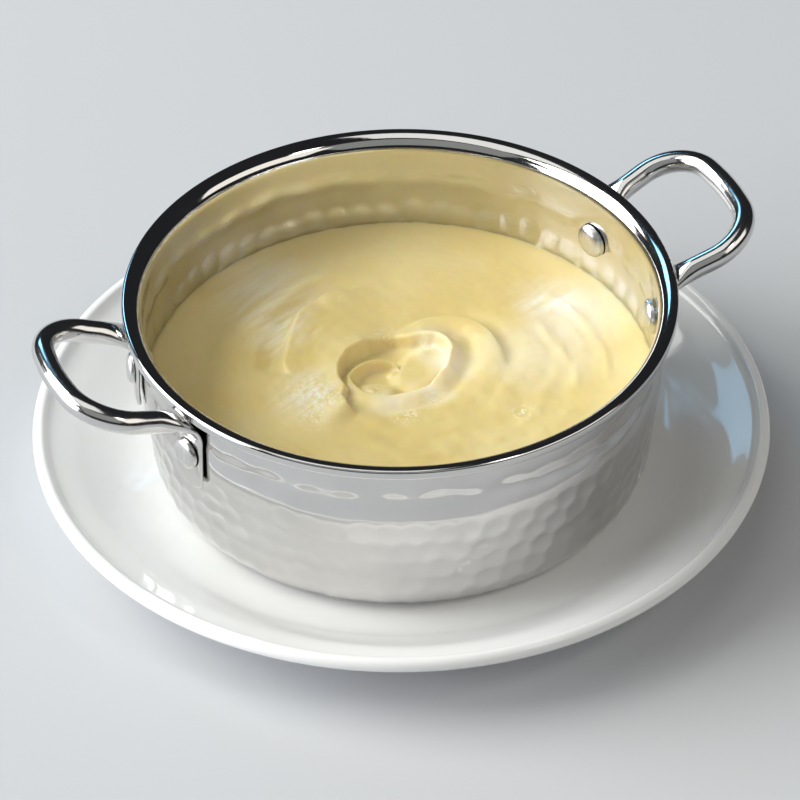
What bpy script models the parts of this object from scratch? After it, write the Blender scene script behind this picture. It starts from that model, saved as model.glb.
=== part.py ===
"""Mashed potato served in a hammered steel pan on a white plate.

A small round pan with a rolled lip stands in the well of a plate. Two bent
handles end in flat tabs that are riveted to the pan's wall. The pan holds
mashed potato up to about half its depth, with a spoon's swirl in the middle.

Metres, +Z up. The origin is on the axis of the plate and the pan, at the
height of the surface that the plate stands on. The handles point along X.
"""

import math

import bmesh
import bpy
from mathutils import Matrix, Vector

MM = 0.001
AXIS = Vector((0.0, 0.0, 1.0))

# Fit between touching pieces, and the faceting of round ones
GAP = 0.3 * MM
MERGE = 0.001 * MM
ROUND_SIDES = 50
RIVET_SIDES = 12
BAR_SIDES = 8
ARC_STEP = math.radians(24)

# Plate
PLATE_RADIUS = 101.3 * MM
PLATE_HEIGHT = 20.6 * MM
PLATE_THICKNESS = 4.2 * MM
PLATE_BEAD = 2.0 * MM
WELL_RADIUS = 74.0 * MM
WELL_HEIGHT = 6.8 * MM
WELL_BEND = 26.0 * MM
SHOULDER = (90.3 * MM, 16.0 * MM)
SHOULDER_BEND = 30.0 * MM
BEAD_FOOT = (97.1 * MM, 18.6 * MM)
BEAD_FOOT_BEND = 4.0 * MM
BEAD_TURN = (math.radians(-42), math.radians(118))
UNDERSIDE_RADIUS = 70.0 * MM
UNDERSIDE_BEND = 24.0 * MM
UNDERSIDE_END = (100.3 * MM, 16.4 * MM)
FOOT_OUTER = 59.0 * MM
FOOT_WIDTH = 4.0 * MM
FOOT_FILLET = 1.6 * MM

# Pan, with heights measured from its own underside
PAN_BASE = WELL_HEIGHT + GAP
PAN_HEIGHT = 55.7 * MM
RIM_RADIUS = 75.0 * MM
SHEET = 1.0 * MM
LIP_RADIUS = 0.9 * MM
LIP_DROP = 1.2 * MM
LIP_CURL = 1.0 * MM
FLARE_RADIUS = 4.6 * MM
CORNER_RADIUS = 9.0 * MM
NECK_RADIUS = RIM_RADIUS - LIP_RADIUS - FLARE_RADIUS + SHEET
NECK_HEIGHT = PAN_HEIGHT - FLARE_RADIUS
BELLY_RADIUS = 71.2 * MM
BELLY_HEIGHT = 32.0 * MM
BELLY_BEND = 40.0 * MM
FOOT_RADIUS = 67.8 * MM
WALL_LEAN = math.atan((BELLY_RADIUS - NECK_RADIUS) / (NECK_HEIGHT - BELLY_HEIGHT))

# Handles, one at +X and one at -X
BAR_DIAMETER = 6.2 * MM
HANDLE_REACH = 99.2 * MM
HANDLE_HEIGHT = 59.7 * MM
LEG_HEIGHT = 49.3 * MM
OUTER_SPREAD = 23.0 * MM
ROOT_BEND = 7.5 * MM
OUTER_BEND = 13.8 * MM
BOW_BEND = 60.0 * MM
BOW = 2.8 * MM
TAB_WIDTH = 10.6 * MM
TAB_THICKNESS = 1.5 * MM
TAB_END_HEIGHT = 27.6 * MM
TAB_LENGTH = 19.0 * MM
FLATTENING = 12.0 * MM
TAB_ROUNDING = 4.0 * MM
ROUTE_STEP = 6.0 * MM

# Rivets, two through each handle's tabs
RIVET_ANGLE = math.radians(15.6)
RIVET_HEIGHT = 38.7 * MM
SHANK_RADIUS = 2.2 * MM
INNER_HEAD_RADIUS = 4.7 * MM
INNER_HEAD_RISE = 2.4 * MM
OUTER_HEAD_RADIUS = 4.3 * MM
OUTER_HEAD_RISE = 1.6 * MM
HEAD_SEAT = 0.6 * MM
HOLE_CUTTER_DEPTH = 12.0 * MM

# Mashed potato, with its level measured from the pan's underside
MASH_LEVEL = 26.9 * MM
FINE_RINGS = 14
FINE_STEP = 2.6 * MM
WIDE_RINGS = 6
SWIRL_TURN = math.radians(-23.65)
CURL_CENTRE = (0.6, 1.5)
CURL_OVAL = (15.2, 10.8)
CURL_LEAN = 30.0
BOWL_DEPTH = 3.0

# Surface finishes: colour, roughness, metallic
STEEL = ((0.62, 0.62, 0.61, 1.0), 0.16, 1.0)
PORCELAIN = ((0.86, 0.86, 0.84, 1.0), 0.12, 0.0)
POTATO = ((0.86, 0.72, 0.36, 1.0), 0.38, 0.0)


def material(name, finish):
    """A Principled material from a colour, a roughness and a metallic value."""
    colour, roughness, metallic = finish
    made = bpy.data.materials.new(name)
    made.use_nodes = True
    shader = made.node_tree.nodes["Principled BSDF"]
    shader.inputs["Base Color"].default_value = colour
    shader.inputs["Roughness"].default_value = roughness
    shader.inputs["Metallic"].default_value = metallic
    made.diffuse_color = colour
    return made


def finished(bm, name, finish, smooth_below=math.radians(40)):
    """Turn a bmesh into a smooth-shaded object with its own material."""
    bmesh.ops.recalc_face_normals(bm, faces=bm.faces)
    mesh = bpy.data.meshes.new(name)
    bm.to_mesh(mesh)
    bm.free()
    mesh.shade_smooth()
    mesh.set_sharp_from_angle(angle=smooth_below)
    piece = bpy.data.objects.new(name, mesh)
    piece.data.materials.append(material(name, finish))
    bpy.context.scene.collection.objects.link(piece)
    return piece


def arc(centre, radius, start, end, step=ARC_STEP):
    """Points of a circular arc in an (radius, height) outline, angles in radians."""
    count = max(2, math.ceil(abs(end - start) / step))
    turn = (end - start) / count
    return [
        (
            centre[0] + radius * math.cos(start + turn * i),
            centre[1] + radius * math.sin(start + turn * i),
        )
        for i in range(count + 1)
    ]


def rounded(corners, step=ARC_STEP):
    """Round off a polyline of (point, radius) pairs with circular arcs."""
    points = [corners[0][0]]
    for (before, _), (corner, radius), (after, _) in zip(corners, corners[1:], corners[2:]):
        back = (before - corner).normalized()
        ahead = (after - corner).normalized()
        half = back.angle(ahead) / 2
        turned_by = math.pi - 2 * half
        centre = corner + (back + ahead).normalized() * (radius / math.sin(half))
        first = corner + back * (radius / math.tan(half)) - centre
        last = corner + ahead * (radius / math.tan(half)) - centre
        count = max(1, math.ceil(turned_by / step))
        for i in range(count + 1):
            t = turned_by * i / count
            mixed = first * math.sin(turned_by - t) + last * math.sin(t)
            points.append(centre + mixed / math.sin(turned_by))
    points.append(corners[-1][0])
    return points


def turned(outline, sides):
    """A closed body of revolution about Z from (radius, height) points."""
    bm = bmesh.new()
    verts = [bm.verts.new((radius, 0.0, height)) for radius, height in outline]
    edges = [bm.edges.new(pair) for pair in zip(verts, verts[1:])]
    bmesh.ops.spin(
        bm, geom=verts + edges, cent=(0, 0, 0), axis=AXIS, angle=math.tau, steps=sides
    )
    bmesh.ops.remove_doubles(bm, verts=bm.verts, dist=MERGE)
    return bm


def smoothstep(low, high, value):
    """Go smoothly from 0 at low to 1 at high, which may be the lower number."""
    t = min(1.0, max(0.0, (value - low) / (high - low)))
    return t * t * (3.0 - 2.0 * t)


# ---------------------------------------------------------------- plate


def build_plate():
    """A white plate: foot ring, flat well, rising rim with a rounded bead."""
    bead_centre = (PLATE_RADIUS - PLATE_BEAD, PLATE_HEIGHT - PLATE_BEAD)
    underside = WELL_HEIGHT - PLATE_THICKNESS
    foot_inner = FOOT_OUTER - FOOT_WIDTH
    outline = [(0.0, underside), (foot_inner - FOOT_FILLET, underside), (foot_inner, 0.0)]
    outline.append((FOOT_OUTER, 0.0))
    under_rim = [
        (Vector((FOOT_OUTER + FOOT_FILLET, underside)), 0.0),
        (Vector((UNDERSIDE_RADIUS, underside)), UNDERSIDE_BEND),
        (Vector(UNDERSIDE_END), 0.0),
    ]
    outline += [tuple(point) for point in rounded(under_rim)[:-1]]
    bead = arc(bead_centre, PLATE_BEAD, *BEAD_TURN, 2 * ARC_STEP)
    outline += bead
    top = [
        (Vector(bead[-1]), 0.0),
        (Vector(BEAD_FOOT), BEAD_FOOT_BEND),
        (Vector(SHOULDER), SHOULDER_BEND),
        (Vector((WELL_RADIUS, WELL_HEIGHT)), WELL_BEND),
        (Vector((0.0, WELL_HEIGHT)), 0.0),
    ]
    outline += [tuple(point) for point in rounded(top, ARC_STEP / 2)[1:]]
    return finished(turned(outline, ROUND_SIDES), "plate", PORCELAIN)


# ---------------------------------------------------------------- pan


def wall_radius(height):
    """Outer radius of the pan's wall: widest at its belly, above its underside."""
    if height > BELLY_HEIGHT:
        share = (height - BELLY_HEIGHT) / (NECK_HEIGHT - BELLY_HEIGHT)
        return BELLY_RADIUS + (NECK_RADIUS - BELLY_RADIUS) * share
    return FOOT_RADIUS + (BELLY_RADIUS - FOOT_RADIUS) * height / BELLY_HEIGHT


def pan_outline():
    """Outline of the sheet: underside, wall, lip, inside of the wall and floor."""
    lip = (RIM_RADIUS - LIP_RADIUS, PAN_HEIGHT - LIP_RADIUS)
    flare = (lip[0], NECK_HEIGHT)
    curl = (RIM_RADIUS - LIP_CURL, lip[1] - LIP_DROP)
    outside = rounded(
        [
            (Vector((0.0, 0.0)), 0.0),
            (Vector((FOOT_RADIUS, 0.0)), CORNER_RADIUS),
            (Vector((BELLY_RADIUS, BELLY_HEIGHT)), BELLY_BEND),
            (Vector((NECK_RADIUS, NECK_HEIGHT)), 0.0),
        ]
    )
    inside = rounded(
        [
            (Vector((NECK_RADIUS - SHEET, NECK_HEIGHT)), 0.0),
            (Vector((BELLY_RADIUS - SHEET, BELLY_HEIGHT)), BELLY_BEND),
            (Vector((wall_radius(SHEET) - SHEET, SHEET)), CORNER_RADIUS - SHEET),
            (Vector((0.0, SHEET)), 0.0),
        ]
    )
    outline = [tuple(point) for point in outside[:-1]]
    outline += arc(flare, FLARE_RADIUS - SHEET, math.pi, math.radians(124))
    outline += arc(curl, LIP_CURL, math.radians(190), math.tau, 2.5 * ARC_STEP)
    outline += arc(lip, LIP_RADIUS, 0.0, math.radians(90), 2 * ARC_STEP)
    outline += arc(flare, FLARE_RADIUS, math.radians(90), math.pi)[1:]
    outline += [tuple(point) for point in inside[1:]]
    return [(radius, height + PAN_BASE) for radius, height in outline]


def build_pan():
    """The steel pan, before its rivet holes are cut."""
    return finished(turned(pan_outline(), ROUND_SIDES), "pan", STEEL)


# ---------------------------------------------------------------- handles


def tab_point(height, stand_off):
    """Point in front of the wall at the rivets' angle, in the +X handle's frame."""
    radius = wall_radius(height) + stand_off
    return Vector(
        (
            radius * math.cos(RIVET_ANGLE),
            radius * math.sin(RIVET_ANGLE),
            height + PAN_BASE,
        )
    )


def handle_route():
    """Centre line of the +X handle from one tab's end to the other's."""
    stand_off = GAP + TAB_THICKNESS / 2
    outer_height = HANDLE_HEIGHT + PAN_BASE
    half = [
        (tab_point(TAB_END_HEIGHT, stand_off), 0.0),
        (tab_point(BELLY_HEIGHT, stand_off), BELLY_BEND / 2),
        (tab_point(LEG_HEIGHT, stand_off), ROOT_BEND),
        (Vector((HANDLE_REACH - BOW, OUTER_SPREAD, outer_height)), OUTER_BEND),
    ]
    middle = (Vector((HANDLE_REACH, 0.0, outer_height)), BOW_BEND)
    mirrored = [(Vector((p.x, -p.y, p.z)), radius) for p, radius in reversed(half)]
    return spaced(rounded(half + [middle] + mirrored), ROUTE_STEP)


def spaced(points, longest):
    """Add points so that no stretch of a route is longer than a given length."""
    route = [points[0]]
    for start, end in zip(points, points[1:]):
        count = max(1, math.ceil((end - start).length / longest))
        route += [start.lerp(end, (i + 1) / count) for i in range(count)]
    return route


def bar_roundness(distance):
    """0 in the flat tab, rising to 1 in the round bar, by distance from the tab's end."""
    return smoothstep(TAB_LENGTH, TAB_LENGTH + FLATTENING, distance)


def section_side(tangent, side, distance):
    """Sideways direction of a section: along the wall in a tab, level in the bar."""
    along_wall = Vector(
        (-math.sin(RIVET_ANGLE), math.copysign(math.cos(RIVET_ANGLE), side), 0.0)
    )
    level = AXIS.cross(Vector((tangent.x, tangent.y, 0.0)).normalized())
    across = along_wall.lerp(level, bar_roundness(distance))
    return (across - tangent * across.dot(tangent)).normalized()


def section_size(distance):
    """Half width, half thickness and squareness at a distance from a tab's end."""
    roundness = bar_roundness(distance)
    short = max(0.0, TAB_ROUNDING - distance) / TAB_ROUNDING
    end = 0.45 + 0.55 * math.sqrt(1.0 - short * short)
    width = TAB_WIDTH * end * (1 - roundness) + BAR_DIAMETER * roundness
    thickness = TAB_THICKNESS * (1 - roundness) + BAR_DIAMETER * roundness
    return width / 2, thickness / 2, 3.4 - 1.4 * roundness


def rounded_section(half_width, half_thickness, power):
    """A superellipse: power 2 is an ellipse, and more makes it squarer."""
    points = []
    for i in range(BAR_SIDES):
        angle = math.tau * (i + 0.5) / BAR_SIDES
        across = math.cos(angle)
        up = math.sin(angle)
        points.append(
            (
                half_width * math.copysign(abs(across) ** (2 / power), across),
                half_thickness * math.copysign(abs(up) ** (2 / power), up),
            )
        )
    return points


def build_handle(name, turn):
    """A round bar bent to a loop, its ends turned down and hammered flat."""
    route = handle_route()
    along = [0.0]
    for start, end in zip(route, route[1:]):
        along.append(along[-1] + (end - start).length)
    bm = bmesh.new()
    loops = []
    for i, centre in enumerate(route):
        tangent = (route[min(i + 1, len(route) - 1)] - route[max(i - 1, 0)]).normalized()
        distance = min(along[i], along[-1] - along[i])
        across = section_side(tangent, centre.y, distance)
        through = tangent.cross(across)
        points = rounded_section(*section_size(distance))
        ring = [centre + across * a + through * b for a, b in points]
        loops.append([bm.verts.new(point) for point in ring])
    for here, there in zip(loops, loops[1:]):
        for i in range(BAR_SIDES):
            j = (i + 1) % BAR_SIDES
            bm.faces.new((here[i], here[j], there[j], there[i]))
    bm.faces.new(loops[0])
    bm.faces.new(loops[-1])
    bmesh.ops.transform(bm, matrix=Matrix.Rotation(turn, 4, "Z"), verts=bm.verts)
    return finished(bm, name, STEEL)


# ---------------------------------------------------------------- rivets


def rivet_place(angle):
    """Place of a rivet: Z runs out through the wall, from the wall's outer face."""
    radius = wall_radius(RIVET_HEIGHT)
    centre = Vector((radius, 0.0, RIVET_HEIGHT + PAN_BASE))
    outward = Matrix.Rotation(math.pi / 2 - WALL_LEAN, 4, "Y")
    return Matrix.Rotation(angle, 4, "Z") @ Matrix.Translation(centre) @ outward


def dome(radius, rise, base, direction):
    """Half outline of a rivet head, from its edge to its apex."""
    sphere = (radius * radius + rise * rise) / (2 * rise)
    widest = math.asin(radius / sphere)
    points = []
    for i in range(4):
        angle = widest * (1 - i / 3)
        lift = sphere * math.cos(angle) - (sphere - rise)
        points.append((sphere * math.sin(angle), base + direction * lift))
    return points


def build_rivet(name, angle):
    """One rivet: a domed head inside, a shank, and a flatter head on the tab."""
    inner_base = -SHEET - HEAD_SEAT
    outer_base = GAP + TAB_THICKNESS + GAP
    outline = list(reversed(dome(INNER_HEAD_RADIUS, INNER_HEAD_RISE, inner_base, -1)))
    outline += [(SHANK_RADIUS, inner_base), (SHANK_RADIUS, outer_base)]
    outline += dome(OUTER_HEAD_RADIUS, OUTER_HEAD_RISE, outer_base, 1)
    bm = turned(outline, RIVET_SIDES)
    bmesh.ops.transform(bm, matrix=rivet_place(angle), verts=bm.verts)
    return finished(bm, name, STEEL)


def rivet_hole_cutter(name, angles):
    """Cutter bodies for the clearance holes at the given rivet angles."""
    bm = bmesh.new()
    for angle in angles:
        bmesh.ops.create_cone(
            bm,
            cap_ends=True,
            segments=RIVET_SIDES,
            radius1=SHANK_RADIUS + GAP,
            radius2=SHANK_RADIUS + GAP,
            depth=HOLE_CUTTER_DEPTH,
            matrix=rivet_place(angle),
        )
    cutter = finished(bm, name, STEEL)
    cutter.hide_render = True
    cutter.display_type = "WIRE"
    return cutter


def cut(piece, cutter):
    """Cut a piece by a cutter."""
    boolean = piece.modifiers.new("rivet holes", "BOOLEAN")
    boolean.operation = "DIFFERENCE"
    boolean.solver = "EXACT"
    boolean.object = cutter


# ---------------------------------------------------------------- mashed potato


def bell(distance, width):
    """A bell-shaped rise of height 1."""
    return math.exp(-((distance / width) ** 2))


def span(value, low, high, soft_low, soft_high):
    """1 from low to high, fading to 0 over a soft stretch on each side."""
    return smoothstep(low - soft_low, low, value) * smoothstep(high + soft_high, high, value)


def cliff(distance, face, reach):
    """A step up at distance 0 that sinks back to nothing over its reach."""
    return smoothstep(-face, face, distance) * math.exp(-max(distance, 0.0) / reach)


def turned_from(start, angle, slack):
    """Degrees from start on to angle, from -slack to 360 - slack."""
    return (angle - start + slack) % 360.0 - slack


def oval_share(x, y, centre, long, short, lean):
    """Distance from a centre as a share of the radius of an oval about it."""
    across, up = x - centre[0], y - centre[1]
    turn = math.radians(lean)
    along = across * math.cos(turn) + up * math.sin(turn)
    aside = up * math.cos(turn) - across * math.sin(turn)
    return math.hypot(along / long, aside / short)


def curl(x, y):
    """The middle of the swirl: a ring winding out of a tongue, round a low bowl.

    The ring's crest starts inside as the tongue, goes once round the bowl and ends
    at the top. On the left a valley parts it from the high edge that laps over it.
    """
    across, up = x - CURL_CENTRE[0], y - CURL_CENTRE[1]
    angle = math.degrees(math.atan2(up, across))
    radius = math.hypot(across, up)
    oval = radius / oval_share(x, y, CURL_CENTRE, *CURL_OVAL, CURL_LEAN) if radius else 0.0
    turn = turned_from(130.0, angle, 25.0)
    crest = 0.27 + 0.73 * smoothstep(-25.0, 78.0, turn) - 0.11 * bell(turn - 225.0, 28.0)
    crest += 0.2 * smoothstep(305.0, 335.0, turn)
    away = radius - crest * oval
    lap = 1.2 + 0.5 * max(turn - 80.0, 0.0) / 26.0 * smoothstep(80.0, 92.0, turn)
    lapped = radius - lap * oval
    inside = smoothstep(1.0, -2.0, away)
    valley = BOWL_DEPTH * (1.0 - smoothstep(-20.0, 125.0, turn))
    level = -0.9 + 1.3 * smoothstep(-18.0, 25.0, turn) + 1.1 * smoothstep(175.0, 235.0, turn)
    ends = smoothstep(-24.0, -8.0, turn) * smoothstep(330.0, 285.0, turn)
    width = 1.6 + 2.8 * smoothstep(70.0, 120.0, turn) - 1.6 * smoothstep(175.0, 225.0, turn)
    height = (valley + level) * ends * bell(away, 1.8 if away < 0 else width)
    height -= BOWL_DEPTH * inside + (1.0 - inside) * smoothstep(0.8, -1.6, lapped) * valley
    high = 2.6 * smoothstep(-25.0, 25.0, turn) * smoothstep(112.0, 99.0, turn)
    height += high * cliff(lapped, 1.2, 9.0)
    return height - 1.2 * bell(away - 5.6, 2.6) * span(turn, 110.0, 270.0, 40.0, 30.0)


def curl_contents(x, y):
    """What lies in the curl's bowl: a broad swelling and a low lump."""
    height = 1.7 * smoothstep(1.2, 0.65, oval_share(x, y, (6.2, 3.6), 10.4, 6.8, 52.0))
    return height + 1.5 * smoothstep(1.25, 0.5, oval_share(x, y, (-5.6, -6.2), 6.0, 3.8, -10.0))


def spiral_edge(radius, angle):
    """The spoon's edge that winds away from the curl, high on its inside, to its end."""
    turn = -turned_from(237.0, angle, 330.0)
    away = radius - 13.5 - 15.6 * smoothstep(122.0, 203.0, turn)
    rise = 2.0 * span(turn, 190.0, 215.0, 50.0, 25.0)
    return rise * (cliff(-away, 1.2, 10.0) - 0.4 * bell(away - 2.2, 2.6))


def outer_edge(radius, angle):
    """The edge of the spoon's last stroke, beyond the curl on one side."""
    turn = -turned_from(174.0, angle, 200.0)
    edge = 32.0 + 6.5 * smoothstep(-5.0, 58.0, turn) - 3.0 * smoothstep(58.0, 80.0, turn)
    away = radius - edge
    rise = 1.8 * span(turn, 2.0, 50.0, 18.0, 25.0)
    return rise * (cliff(-away, 1.2, 10.0) - 0.7 * bell(away - 3.4, 3.2))


def swirl_relief(x, y):
    """Height of the potato's surface over its level, all in millimetres."""
    radius = math.hypot(x, y)
    angle = math.degrees(math.atan2(y, x))
    height = 1.2 * bell(radius - 26.0, 18.0) + 0.5 * bell(radius - 46.0, 10.0)
    height += curl(x, y) + curl_contents(x, y)
    height += spiral_edge(radius, angle)
    height += outer_edge(radius, angle)
    waves = math.cos(math.tau * (radius / 8.6 - math.radians(angle) * 0.64))
    waves *= span(angle, -95.0, 0.0, 50.0, 35.0) * span(radius, 22.0, 44.0, 5.0, 12.0)
    return (height + 0.22 * waves) * smoothstep(67.0, 56.0, radius)


def mash_radii(edge_radius):
    """Radii of the surface's rings, from the edge in: wide ones, then fine ones."""
    fine_radius = FINE_RINGS * FINE_STEP
    wide_step = (edge_radius - fine_radius) / WIDE_RINGS
    radii = [edge_radius - wide_step * i for i in range(1, WIDE_RINGS + 1)]
    return radii + [fine_radius - FINE_STEP * i for i in range(1, FINE_RINGS + 1)]


def build_mash():
    """The potato: it fills the pan's inside up to its swirled surface."""
    inset = SHEET + GAP
    edge_radius = wall_radius(MASH_LEVEL) - inset
    below = rounded(
        [
            (Vector((0.0, inset)), 0.0),
            (Vector((wall_radius(inset) - inset, inset)), CORNER_RADIUS - SHEET),
            (Vector((edge_radius, MASH_LEVEL)), 0.0),
        ]
    )
    outline = [tuple(point) for point in below]
    outline += [(radius, MASH_LEVEL) for radius in mash_radii(edge_radius)]
    bm = turned(outline, ROUND_SIDES)
    turn_back = Matrix.Rotation(-SWIRL_TURN, 3, "Z")
    for vert in bm.verts:
        if vert.co.z > MASH_LEVEL - MERGE:
            place = turn_back @ (vert.co / MM)
            vert.co.z += swirl_relief(place.x, place.y) * MM
        vert.co.z += PAN_BASE
    return finished(bm, "mash", POTATO, math.pi)


# ---------------------------------------------------------------- assembly


def main():
    """Clear the scene and build every piece."""
    for old in list(bpy.data.objects):
        bpy.data.objects.remove(old, do_unlink=True)
    build_plate()
    pan = build_pan()
    build_mash()
    holes = []
    for side, turn in (("right", 0.0), ("left", math.pi)):
        handle = build_handle(f"handle_{side}", turn)
        angles = {"front": turn - RIVET_ANGLE, "back": turn + RIVET_ANGLE}
        if side == "left":
            angles = {"front": turn + RIVET_ANGLE, "back": turn - RIVET_ANGLE}
        for end, angle in angles.items():
            build_rivet(f"rivet_{side}_{end}", angle)
        cut(handle, rivet_hole_cutter(f"tab_holes_{side}", angles.values()))
        holes += angles.values()
    cut(pan, rivet_hole_cutter("wall_holes", holes))


main()
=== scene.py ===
"""Looks for mashed potato served in a hammered steel pan on a white plate.

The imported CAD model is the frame, in metres, with the handles along X. Every CAD
node is replaced by a finer piece of the same size and place, which rides on the
body "root". Studio directions are given as the camera sees them and turned into
the frame by turned_to_camera().
"""

import math

import bpy
import numpy as np
from mathutils import Matrix, Vector


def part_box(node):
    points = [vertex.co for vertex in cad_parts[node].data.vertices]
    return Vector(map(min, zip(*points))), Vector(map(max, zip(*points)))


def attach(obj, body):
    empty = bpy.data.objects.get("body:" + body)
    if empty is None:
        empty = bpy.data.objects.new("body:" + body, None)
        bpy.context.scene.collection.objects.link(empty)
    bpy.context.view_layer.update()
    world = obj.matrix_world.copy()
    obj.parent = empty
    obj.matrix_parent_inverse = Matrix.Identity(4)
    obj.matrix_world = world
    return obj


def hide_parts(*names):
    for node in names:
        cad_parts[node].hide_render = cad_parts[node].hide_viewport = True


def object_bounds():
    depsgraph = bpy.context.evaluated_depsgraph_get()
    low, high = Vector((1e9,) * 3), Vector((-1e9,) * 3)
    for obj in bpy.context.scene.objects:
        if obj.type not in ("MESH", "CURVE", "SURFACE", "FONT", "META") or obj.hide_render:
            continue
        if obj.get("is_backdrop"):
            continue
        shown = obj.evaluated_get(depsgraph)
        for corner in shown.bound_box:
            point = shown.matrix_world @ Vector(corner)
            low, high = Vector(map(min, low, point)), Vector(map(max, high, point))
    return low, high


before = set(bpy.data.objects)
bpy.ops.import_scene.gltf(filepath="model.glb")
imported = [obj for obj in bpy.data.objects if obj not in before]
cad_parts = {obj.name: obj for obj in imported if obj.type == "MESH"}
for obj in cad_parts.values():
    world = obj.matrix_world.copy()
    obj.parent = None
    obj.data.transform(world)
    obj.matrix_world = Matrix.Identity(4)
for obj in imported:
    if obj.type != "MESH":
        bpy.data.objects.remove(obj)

MM = 0.001
CAD_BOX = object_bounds()
PAN_LOW, PAN_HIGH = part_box("pan")
PLATE_LOW, PLATE_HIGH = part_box("plate")
MASH_LOW, MASH_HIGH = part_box("mash")

# Camera, as it stands to the handles
CAMERA_TURN = math.radians(-23.65)
CAMERA_ELEVATION = math.radians(40.17)
CAMERA_DISTANCE = 1200.0 * MM
CAMERA_AIM = Vector((-0.3, 0.0, 17.9)) * MM
CAMERA_ROLL = math.radians(-0.65)
SENSOR_WIDTH = 36.0
LENS = 194.9

# Pan, with heights measured from its own underside
PAN_BASE = PAN_LOW.z
PAN_HEIGHT = PAN_HIGH.z - PAN_LOW.z
RIM_RADIUS = PAN_HIGH.x
SHEET = 1.0 * MM
LIP_RADIUS = 0.9 * MM
LIP_DROP = 1.2 * MM
LIP_CURL = 1.0 * MM
FLARE_RADIUS = 4.6 * MM
CORNER_RADIUS = 9.0 * MM
NECK_RADIUS = RIM_RADIUS - LIP_RADIUS - FLARE_RADIUS + SHEET
NECK_HEIGHT = PAN_HEIGHT - FLARE_RADIUS
BELLY_RADIUS = 71.2 * MM
BELLY_HEIGHT = 32.0 * MM
BELLY_BEND = 40.0 * MM
FOOT_RADIUS = 67.8 * MM
WALL_LEAN = math.atan((BELLY_RADIUS - NECK_RADIUS) / (NECK_HEIGHT - BELLY_HEIGHT))
PAN_SIDES = 540

# Hammer marks in the pan's wall: long ones in the top row, round ones below
TOP_MARKS = 40
TOP_MARKS_HEIGHT = 41.7 * MM
TOP_MARK_SIZE = (5.2 * MM, 2.7 * MM)
TOP_MARK_DEPTH = 0.42 * MM
TOP_ROW_SHIFT = 0.094
LOWER_ROWS = 5
LOWER_MARKS = 62
LOWER_MARKS_HEIGHT = 29.5 * MM
LOWER_ROW_STEP = 6.1 * MM
LOWER_MARK_SIZE = (4.4 * MM, 4.0 * MM)
LOWER_MARK_DEPTH = 0.42 * MM
INSIDE_MARKS = 1.6

# Handles and rivets
GAP = 0.3 * MM
BAR_DIAMETER = 6.2 * MM
HANDLE_REACH = 99.2 * MM
HANDLE_HEIGHT = 59.7 * MM
LEG_HEIGHT = 49.3 * MM
OUTER_SPREAD = 23.0 * MM
ROOT_BEND = 7.5 * MM
OUTER_BEND = 13.8 * MM
BOW_BEND = 60.0 * MM
BOW = 2.8 * MM
TAB_WIDTH = 10.6 * MM
TAB_THICKNESS = 1.5 * MM
TAB_END_HEIGHT = 27.6 * MM
TAB_LENGTH = 19.0 * MM
FLATTENING = 12.0 * MM
TAB_ROUNDING = 4.0 * MM
BAR_SIDES = 36
ROUTE_STEP = 0.6 * MM
RIVET_ANGLE = math.radians(15.6)
RIVET_HEIGHT = 38.7 * MM
SHANK_RADIUS = 2.2 * MM
INNER_HEAD = (4.9 * MM, 2.5 * MM)
OUTER_HEAD = (4.4 * MM, 1.7 * MM)
HEAD_SQUARENESS = 2.5
HEAD_SEAT = 0.45 * MM
RIVET_SIDES = 48

# Plate
PLATE_RADIUS = PLATE_HIGH.x
PLATE_HEIGHT = PLATE_HIGH.z
PLATE_THICKNESS = 4.2 * MM
PLATE_BEAD = 2.0 * MM
WELL_RADIUS = 70.0 * MM
WELL_HEIGHT = 6.8 * MM
FOOT_OUTER = 59.0 * MM
FOOT_WIDTH = 4.0 * MM
FOOT_FILLET = 1.6 * MM
PLATE_SIDES = 360

# Mashed potato
MASH_LEVEL = 26.9 * MM
MASH_CELLS = 300
SWIRL_CENTRE = Vector((-0.4, 1.2)) * MM
SWIRL_TURN = Matrix.Rotation(CAMERA_TURN, 3, "Z")
CURL_CENTRE = (0.6, 1.5)
CURL_OVAL = (15.2, 10.8)
CURL_LEAN = 30.0
BOWL_DEPTH = 3.2


# ---------------------------------------------------------------- shared shapes


def smoothstep(low, high, value):
    """Go smoothly from 0 at low to 1 at high, which may be the lower number."""
    t = np.clip((value - low) / (high - low), 0.0, 1.0)
    return t * t * (3.0 - 2.0 * t)


def bell(distance, width):
    """A bell-shaped rise of height 1."""
    return np.exp(-((distance / width) ** 2))


def arc(centre, radius, start, end, step=math.radians(5)):
    """Points of a circular arc in an outline, angles in radians."""
    count = max(2, math.ceil(abs(end - start) / step))
    angles = np.linspace(start, end, count + 1)
    return [Vector((centre[0] + radius * math.cos(a), centre[1] + radius * math.sin(a))) for a in angles]


def rounded(corners, step=math.radians(4)):
    """Round off a polyline of (point, radius) pairs with circular arcs."""
    points = [corners[0][0]]
    for (before, _), (corner, radius), (after, _) in zip(corners, corners[1:], corners[2:]):
        back = (before - corner).normalized()
        ahead = (after - corner).normalized()
        half = back.angle(ahead) / 2
        turned_by = math.pi - 2 * half
        centre = corner + (back + ahead).normalized() * (radius / math.sin(half))
        first = corner + back * (radius / math.tan(half)) - centre
        last = corner + ahead * (radius / math.tan(half)) - centre
        count = max(1, math.ceil(turned_by / step))
        for i in range(count + 1):
            t = turned_by * i / count
            mixed = first * math.sin(turned_by - t) + last * math.sin(t)
            points.append(centre + mixed / math.sin(turned_by))
    points.append(corners[-1][0])
    return points


def spaced(points, longest):
    """Add points so that no stretch of a line is longer than a given length."""
    line = [points[0]]
    for start, end in zip(points, points[1:]):
        count = max(1, math.ceil((end - start).length / longest))
        line += [start.lerp(end, (i + 1) / count) for i in range(count)]
    return line


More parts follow.
